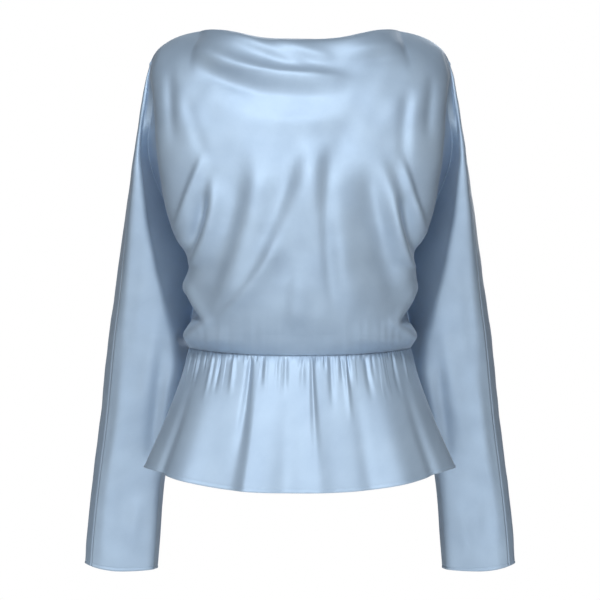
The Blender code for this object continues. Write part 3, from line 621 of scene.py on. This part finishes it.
def drape_half(side, hand):
    """The three grids of one half with their folds."""
    upper, waist, lower = [g.copy() for g in GRIDS[side]]
    crease = CHEST_COLUMNS + FOLD_COLUMNS
    columns = np.arange(upper.shape[1])
    outs = []
    for grid, first in ((upper, 0), (waist, 0), (lower, crease)):
        column = columns[first:first + grid.shape[1]]
        x, z = hand * grid[:, :, 0], grid[:, :, 2]
        normal = grid_normals(grid) * (1.0 if side == "front" else -1.0)
        # At the centre the two halves share one direction.
        if first == 0:
            normal[:, 0, 0] = 0.0
            normal[:, 0] /= np.linalg.norm(normal[:, 0], axis=1)[:, None]
        chest = fold_heights(FOLDS[side], x, z)
        chest += BODY_UNEVENNESS * soft_noise(x, z, 1.0 if side == "front" else 5.0)
        arm = fold_heights(SLEEVE_FOLDS[side], np.abs(x), z + SLEEVE_FOLD_SHIFT * (hand > 0))
        arm += SLEEVE_UNEVENNESS * soft_noise(x, z, 3.0 + hand)
        # The body's folds end in the turn to the crease, and the sleeve's begin behind it.
        sleeve_part = ease(column, crease - 2.0, crease + 5.0)[None, :]
        body_part = 1.0 - ease(column, CHEST_COLUMNS - 8.0, crease)[None, :]
        height = chest * body_part + arm * sleeve_part
        # Over the last five columns all folds die out into the overarm seam.
        overarm = crease + SLEEVE_COLUMNS
        height *= ease(overarm - column, 0.0, 5.0)[None, :]
        outs.append((grid, normal, height))
    outs[2][2][:, 0] = 0.0
    for row, (_, raised) in enumerate(HEM_ROWS):
        outs[2][2][row - len(HEM_ROWS)] += raised
    # Folds are whole seven rows down from the neck's edge; the shoulder seam has none.
    upper, _, height = outs[0]
    reach = np.arange(upper.shape[0])
    edge_ease = ease(reach, 0.0, 7.0)[:, None]
    height *= 0.25 + 0.75 * edge_ease
    shoulder_part = ease(columns, CHEST_COLUMNS // 2 - 3.0, CHEST_COLUMNS // 2 + 1.0)[None, :]
    height *= 1.0 - shoulder_part * (1.0 - edge_ease)
    bead = np.where(np.isin(reach, (1, 2)), NECK_BEAD, 0.0)[:, None]
    height += bead * (1.0 - shoulder_part)
    height[0] -= SEAM_SINK * shoulder_part[0]
    waist_grid, _, waist_height = outs[1]
    t = np.linspace(0.0, 1.0, waist_grid.shape[0])[:, None]
    waist_height *= 1.0 - ease(t, 0.2, 1.0)
    # Faint uneven gathers drawn up by the waist seam.
    above = ease(upper[:, :, 2], GATHER_BEGIN_Z, GATHER_FULL_Z)
    below = 1.0 - ease(t, 0.8, 1.0)
    for grid, tall, drawn in ((upper, height, above), (waist_grid, waist_height, below)):
        turn = grid[:, :, 0] / PEPLUM[0][2]
        uneven = COARSE_GATHERS * turn + 0.6 * np.sin(7.0 * turn + hand)
        beat = (np.sin(2 * np.pi * uneven + 0.7 * hand)
                + 0.5 * np.sin(2 * np.pi * FINE_GATHERS * turn + hand))
        column = np.arange(grid.shape[1])
        on_chest = np.clip(1.0 - turn ** 8, 0.0, 1.0) * (column < CHEST_COLUMNS)
        tall += GATHER_HEIGHT * drawn * beat * on_chest * ease(column, 0.0, 3.0)
    draped = [grid + high[:, :, None] * square for grid, square, high in outs]
    # The overarm and underarm seams sink in a little, alike in both panels.
    draped[0][1:, -1, 0] -= SEAM_SINK
    draped[2][1:, -1, 0] -= SEAM_SINK
    draped[2][1:, 0, 0] += SEAM_SINK
    # Each panel stops half a seam gap short of its neighbour.
    edges = ((draped[0], -1, -2), (draped[2], -1, -2), (draped[2], 0, 1), (draped[1], -1, -2))
    for grid, edge, inside in edges:
        back = grid[1:, inside] - grid[1:, edge]
        grid[1:, edge] += 0.5 * SEAM_GAP * back / np.linalg.norm(back, axis=1)[:, None]
    for grid in draped:
        grid[:, :, 0] *= hand
    # The sleeve and the waist start on the body's last row.
    draped[2][0] = draped[0][-1][crease:]
    draped[1][0] = draped[0][-1][:crease + 1]
    return draped


def joined_grids(parts, flips):
    """One list of points and quads from several grids."""
    places, faces = [], []
    count = 0
    for grid, flip in zip(parts, flips):
        high, wide = grid.shape[:2]
        places.append(grid.reshape(-1, 3))
        number = np.arange(high * wide).reshape(high, wide) + count
        corners = (number[:-1, :-1], number[1:, :-1], number[1:, 1:], number[:-1, 1:])
        quad = np.stack(corners, axis=2).reshape(-1, 4)
        faces.append(quad[:, ::-1] if flip else quad)
        count += high * wide
    return np.vstack(places), np.vstack(faces)


def cloth_piece(name, parts, flips, material):
    """A thin shell of cloth from grids in millimetres, its flat place kept as a UV map."""
    places, quads = joined_grids(parts, flips)
    flat = []
    for grid in parts:
        over = np.linalg.norm(np.diff(grid, axis=1), axis=2)
        over = np.hstack((np.zeros((grid.shape[0], 1)), np.cumsum(over, axis=1)))
        down = np.linalg.norm(np.diff(grid, axis=0), axis=2)
        down = np.vstack((np.zeros((1, grid.shape[1])), np.cumsum(down, axis=0)))
        middle = np.broadcast_to(np.mean(down, axis=1)[:, None], down.shape)
        across = over + grid[:, :1, 0]
        flat.append(np.stack((across, grid[0, 0, 2] - middle), axis=2).reshape(-1, 2))
    flat = np.vstack(flat)
    rounded = np.round(places / JOIN_DISTANCE).astype(np.int64)
    _, first, back = np.unique(rounded, axis=0, return_index=True, return_inverse=True)
    back = back.reshape(-1)
    order = np.argsort(first)
    rank = np.empty_like(order)
    rank[order] = np.arange(len(order))
    merged = rank[back]
    spots = places[first[order]]
    faces = merged[quads]
    solid = []
    corners = []
    for quad, source in zip(faces, quads):
        keep = [k for k in range(4) if quad[k] != quad[k - 1]]
        if len(keep) > 2:
            solid.append([int(quad[k]) for k in keep])
            corners.extend(int(source[k]) for k in keep)
    mesh = bpy.data.meshes.new(name)
    mesh.from_pydata((spots * MM).tolist(), [], solid)
    layer = mesh.uv_layers.new(name="cloth")
    layer.data.foreach_set("uv", (flat[corners] * MM).reshape(-1))
    mesh.validate()
    piece = bpy.data.objects.new(name, mesh)
    scene.collection.objects.link(piece)
    bpy.ops.object.select_all(action="DESELECT")
    piece.select_set(True)
    bpy.context.view_layer.objects.active = piece
    wall = piece.modifiers.new("wall", "SOLIDIFY")
    wall.thickness = CLOTH_THICKNESS * MM
    wall.offset = -1.0
    bpy.ops.object.modifier_apply(modifier="wall")
    piece.data.polygons.foreach_set("use_smooth", [True] * len(piece.data.polygons))
    piece.data.materials.append(material)
    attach(piece, "root")
    return piece


# Polyester satin: long floats of fine bright thread on the face give a soft directional
# gloss; the weave itself, 0.05 mm threads, is far too fine to show, so it is drawn as
# faint slubs, 0.8 to 0.9 mm apart and 5 to 6 mm long, along the cloth and across it.
# Slubs to a metre in width and height of the cloth, and its two shades
LONG_SLUBS = (1300.0, 160.0, 1.0)
CROSS_SLUBS = (200.0, 1100.0, 1.0)
SATIN_SHADES = ("#9CB1C7", "#A3B8CD")
satin = bpy.data.materials.new("pale_blue_polyester_satin")
satin.use_nodes = True
tree = satin.node_tree
shader = tree.nodes["Principled BSDF"]
cloth_uv = node(tree, "ShaderNodeUVMap", {"uv_map": "cloth"})
slub_scale = node(tree, "ShaderNodeMapping", None,
                  {"Vector": cloth_uv.outputs[0], "Scale": LONG_SLUBS})
slub = node(tree, "ShaderNodeTexNoise", {"noise_dimensions": "2D"},
            {"Vector": slub_scale.outputs[0], "Scale": 1.0, "Detail": 2.0})
cross_scale = node(tree, "ShaderNodeMapping", None,
                   {"Vector": cloth_uv.outputs[0], "Scale": CROSS_SLUBS})
cross = node(tree, "ShaderNodeTexNoise", {"noise_dimensions": "2D"},
             {"Vector": cross_scale.outputs[0], "Scale": 1.0, "Detail": 2.0})
weave = node(tree, "ShaderNodeMix", {"data_type": "FLOAT"},
             {"Factor": 0.5, "A": slub.outputs[0], "B": cross.outputs[0]})
cloud = node(tree, "ShaderNodeTexNoise", {"noise_dimensions": "2D"},
             {"Vector": cloth_uv.outputs[0], "Scale": 22.0, "Detail": 3.0})
tone = node(tree, "ShaderNodeValToRGB", None, {"Fac": cloud.outputs[0]})
tone.color_ramp.elements[0].position = 0.3
tone.color_ramp.elements[0].color = linear(SATIN_SHADES[0])
tone.color_ramp.elements[1].position = 0.7
tone.color_ramp.elements[1].color = linear(SATIN_SHADES[1])
gloss = node(tree, "ShaderNodeMapRange", None,
             {"Value": weave.outputs[0], "From Min": 0.3, "From Max": 0.7,
              "To Min": 0.56, "To Max": 0.62})
nap = node(tree, "ShaderNodeBump", None,
           {"Height": weave.outputs[0], "Strength": 0.10, "Distance": 0.0003})
tree.links.new(tone.outputs[0], shader.inputs["Base Color"])
tree.links.new(gloss.outputs[0], shader.inputs["Roughness"])
tree.links.new(nap.outputs[0], shader.inputs["Normal"])
shader.inputs["Metallic"].default_value = 0.55
shader.inputs["IOR"].default_value = 1.5
shader.inputs["Specular IOR Level"].default_value = 0.5
shader.inputs["Sheen Weight"].default_value = 0.12
shader.inputs["Sheen Roughness"].default_value = 0.4

GRIDS = {side: half_grids(side) for side in ("front", "back")}
arms = {}
for side in ("front", "back"):
    parts = []
    flips = []
    for hand in (-1, 1):
        draped = drape_half(side, hand)
        arms[side, hand] = draped[2]
        for grid in draped:
            parts.append(grid)
            flips.append((side == "front") != (hand > 0))
    cloth_piece(side + "_panel", parts, flips, satin)
    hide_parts(side)

# Peplum. Two flared strips of the same satin, gathered along the top into the waist seam,
# seamed at the sides and finished at the lower edge with a narrow rolled hem.
GATHERS_PER_PANEL = 38
COLUMNS_PER_GATHER = 18
PEPLUM_ROWS = 50
PEPLUM_DROP = 148.0
# The ovals grow this much flatter at front and back down to half way.
PEPLUM_FLATTER = 0.28
# Gathers: the least of each and what chance adds to it. Run as a share of the way down,
# depth, and half width of a trough as a share of one gather, which widens on its way down
GATHER_SEEDS = {"front": 11, "back": 12}
GATHER_RUN = (0.07, 0.36)
GATHER_DEPTH = (0.9, 2.0, 0.5)
TROUGH_WIDTH = (0.085, 0.06)
TROUGH_SPREAD = 1.5
# Fine puckers right under the seam: height, how many to a gather, share of the way down
PUCKERS = (0.35, 2.3, 0.06)
# The gathers stop at the side seams over this share of the width.
SIDE_FADE = 0.012
# Broad folds. Columns: place across the panel from 0 to 1, half width before and after
# it, height at the hem
PEPLUM_FOLDS = {
    "front": (
        (0.10, 0.040, 0.040, 5.0), (0.19, 0.020, 0.020, -4.0), (0.262, 0.050, 0.040, 5.0),
        (0.402, 0.018, 0.060, 8.5), (0.474, 0.020, 0.020, -2.5), (0.532, 0.040, 0.022, 3.2),
        (0.630, 0.016, 0.016, -1.8), (0.70, 0.040, 0.040, 5.0), (0.79, 0.020, 0.020, -4.0),
        (0.89, 0.040, 0.040, 5.0),
    ),
    "back": (
        (0.12, 0.035, 0.035, 6.0), (0.23, 0.030, 0.030, -5.0), (0.34, 0.022, 0.050, 7.0),
        (0.45, 0.030, 0.030, -5.0), (0.56, 0.050, 0.022, 7.0), (0.67, 0.030, 0.030, -5.0),
        (0.78, 0.035, 0.035, 6.0), (0.88, 0.030, 0.030, 5.0),
    ),
}
# Single gathers that run further down. Columns: place, half width, height, length share
LONG_GATHERS = {
    "front": (
        (0.146, 0.006, 1.6, 0.30), (0.205, 0.005, -1.8, 0.34), (0.262, 0.005, 1.6, 0.42),
        (0.331, 0.005, 1.6, 0.36), (0.376, 0.006, -3.2, 0.95), (0.420, 0.005, 1.4, 0.30),
        (0.466, 0.005, -1.7, 0.34), (0.505, 0.005, 1.5, 0.30), (0.528, 0.004, 2.4, 0.95),
        (0.575, 0.005, -1.8, 0.45), (0.612, 0.004, 2.0, 0.55), (0.668, 0.006, -1.8, 0.40),
        (0.715, 0.005, 1.7, 0.35), (0.762, 0.006, -1.7, 0.42), (0.812, 0.005, 1.6, 0.30),
        (0.862, 0.006, -1.6, 0.34),
    ),
    "back": (
        (0.14, 0.006, 1.6, 0.4), (0.22, 0.005, -1.8, 0.3), (0.31, 0.006, 2.0, 0.6),
        (0.40, 0.005, -1.8, 0.4), (0.49, 0.005, 1.9, 0.8), (0.57, 0.006, -1.7, 0.35),
        (0.66, 0.005, 1.8, 0.5), (0.75, 0.006, -1.7, 0.4), (0.84, 0.005, 1.6, 0.35),
    ),
}


def gather_height(side, place, share):
    """Height of the gathers: flat cloth between narrow troughs, each of its own depth and run."""
    phase = GATHERS_PER_PANEL * place + 0.3 * np.sin(33.0 * place)
    phase += 0.3 * share * np.sin(21.0 * place)
    number = np.floor(phase + 0.5).astype(int)
    dice = np.random.default_rng(GATHER_SEEDS[side])
    random = dice.random((GATHERS_PER_PANEL + 2, 4))[np.clip(number, 0, GATHERS_PER_PANEL + 1)]
    run = GATHER_RUN[0] + GATHER_RUN[1] * random[:, 0] ** 2.2
    least, with_run, alone = GATHER_DEPTH
    depth = least + with_run * random[:, 0] * random[:, 1] + alone * random[:, 1]
    offset = phase - number - 0.5 * (random[:, 2] - 0.5)
    width = (TROUGH_WIDTH[0] + TROUGH_WIDTH[1] * random[:, 3]) * (1.0 + TROUGH_SPREAD * share / run)
    fade = (0.55 + 0.45 * ease(share, 0.0, 0.03)) * (1.0 - ease(share, 0.15 * run, run))
    high, to_a_gather, end = PUCKERS
    fine = high * np.sin(2.0 * np.pi * to_a_gather * phase) * (1.0 - ease(share, 0.0, end))
    return 0.5 * fade - depth * fade * np.exp(-(offset / width) ** 2) + fine


def peplum_grid(side):
    """Points of one peplum panel in millimetres, from the waist seam to the hem."""
    columns = GATHERS_PER_PANEL * COLUMNS_PER_GATHER
    place = np.linspace(0.0, 1.0, columns + 1)
    start, end = (-SIDE_SEAM_ANGLE, SIDE_SEAM_ANGLE)
    if side == "back":
        start, end = (SIDE_SEAM_ANGLE, 360.0 - SIDE_SEAM_ANGLE)
    bearing = start + (end - start) * place
    bearing = np.where(bearing > 180.0, bearing - 360.0, bearing)
    lines = []
    plain = np.linspace(0.0, 1.0, PEPLUM_ROWS + 1) ** 1.12 * (1.0 - HEM_DEPTH / PEPLUM_DROP)
    hem = [1.0 - rise / PEPLUM_DROP for rise, _ in HEM_ROWS]
    raised = np.concatenate((np.zeros(len(plain)), [high for _, high in HEM_ROWS]))
    for share, rolled in zip(np.concatenate((plain, hem)), raised):
        side_z, half_width, side_y, front_y, back_y, drop = read_table(PEPLUM, [share])[0]
        power = 1.0 - PEPLUM_FLATTER * ease(share, 0.0, 0.5)
        sizes = (half_width, side_y, front_y, back_y, power)
        x, y = oval(bearing, *sizes)
        ahead = np.array(oval(bearing + 0.5, *sizes)) - np.array(oval(bearing - 0.5, *sizes))
        ahead /= np.linalg.norm(ahead, axis=0)
        height = gather_height(side, place, share)
        for centre, before, after, rise in PEPLUM_FOLDS[side]:
            width = np.where(place < centre, before, after)
            height += rise * share ** 1.2 * np.exp(-((place - centre) / width) ** 2)
        for centre, width, rise, length in LONG_GATHERS[side]:
            centre = centre + 0.006 * share * np.sin(40.0 * centre)
            fade = ease(share, 0.0, 0.05) * (1.0 - ease(share, 0.35 * length, length))
            wide = width * (1.0 + 1.6 * share)
            height += rise * fade * np.exp(-((place - centre) / wide) ** 2)
        height *= ease(place, 0.0, SIDE_FADE) * ease(1.0 - place, 0.0, SIDE_FADE)
        height += rolled
        # The strip stops half a seam gap short at both sides and under the waist seam.
        across = np.zeros(len(place))
        across[0] = 0.5 * SEAM_GAP
        across[-1] = -0.5 * SEAM_GAP
        z = ring_z(bearing, side_z, drop) - (0.5 * SEAM_GAP if share == 0.0 else 0.0)
        lines.append(np.column_stack((x + across * ahead[0] + height * ahead[1],
                                      y + across * ahead[1] - height * ahead[0], z)))
    return np.array(lines)


strips = {side: peplum_grid(side) for side in ("front", "back")}
for side, grid in strips.items():
    name = "peplum_" + side
    cloth_piece(name + "_panel", [grid], [False], satin)
    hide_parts(name)

# Hem stitches. Lines of machine stitching in polyester thread of the same blue hold the
# narrow rolled hems of both cuffs and of the peplum, each stitch pulled half into the cloth.
STITCH_PITCH = 2.8
STITCH_LENGTH = 2.1
# A stitch is full from this share of its length on one side of its middle to the other.
STITCH_SHOULDER = 0.36
THREAD_RADIUS = 0.16
THREAD_RISE = 0.05
# The stitches follow this row of the cloth's grid, counted from the edge.
STITCHED_ROW = -5


def stitches(name, lines, material):
    """Small rounded bars end to end along lines of points, each with its outward direction."""
    spots, faces = [], []
    for points, outward in lines:
        steps = np.linalg.norm(np.diff(points, axis=0), axis=1)
        walk = np.concatenate(([0.0], np.cumsum(steps)))
        for middle in np.arange(STITCH_PITCH, walk[-1] - STITCH_PITCH, STITCH_PITCH):
            reach = middle + STITCH_LENGTH * np.array((-0.5, 0.0, 0.5))
            ends = np.column_stack([np.interp(reach, walk, points[:, k]) for k in range(3)])
            up = np.array([np.interp(middle, walk, outward[:, k]) for k in range(3)])
            along = (ends[2] - ends[0]) / np.linalg.norm(ends[2] - ends[0])
            up -= along * (up @ along)
            up /= np.linalg.norm(up)
            over = np.cross(along, up)
            centre = ends[1] + THREAD_RISE * up
            first = len(spots)
            spots.append(centre - 0.5 * STITCH_LENGTH * along)
            for place in (-STITCH_SHOULDER, STITCH_SHOULDER):
                for e, f in ((1, 0), (0, 1), (-1, 0), (0, -1)):
                    round_it = THREAD_RADIUS * (e * up + f * over)
                    spots.append(centre + place * STITCH_LENGTH * along + round_it)
            spots.append(centre + 0.5 * STITCH_LENGTH * along)
            for k in range(4):
                near, after = first + 1 + k, first + 1 + (k + 1) % 4
                faces.append((near, after, after + 4, near + 4))
                faces.append((first, after, near))
                faces.append((first + 9, near + 4, after + 4))
    mesh = bpy.data.meshes.new(name)
    mesh.from_pydata((np.array(spots) * MM).tolist(), [], faces)
    mesh.validate()
    mesh.polygons.foreach_set("use_smooth", [True] * len(mesh.polygons))
    mesh.materials.append(material)
    piece = bpy.data.objects.new(name, mesh)
    scene.collection.objects.link(piece)
    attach(piece, "root")
    return piece


# Polyester sewing thread: fine, smooth and a little duller than the satin.
thread = bpy.data.materials.new("pale_blue_polyester_thread")
thread.use_nodes = True
tree = thread.node_tree
spin = node(tree, "ShaderNodeTexNoise", None, {"Scale": 3000.0, "Detail": 1.0})
tint = node(tree, "ShaderNodeValToRGB", None, {"Fac": spin.outputs[0]})
tint.color_ramp.elements[0].color = linear("#8FA6BC")
tint.color_ramp.elements[1].color = linear("#9DB4C9")
shader = tree.nodes["Principled BSDF"]
tree.links.new(tint.outputs[0], shader.inputs["Base Color"])
shader.inputs["Roughness"].default_value = 0.6

for side in ("front", "back"):
    lines = []
    for hand in (-1, 1):
        cuff = arms[side, hand]
        facing = hand if side == "front" else -hand
        lines.append((cuff[STITCHED_ROW, 1:-1], facing * grid_normals(cuff)[STITCHED_ROW, 1:-1]))
    stitches(side + "_cuff_stitches", lines, thread)
    hem = strips[side]
    stitches("peplum_" + side + "_hem_stitches",
                                      [(hem[STITCHED_ROW], grid_normals(hem)[STITCHED_ROW])], thread)
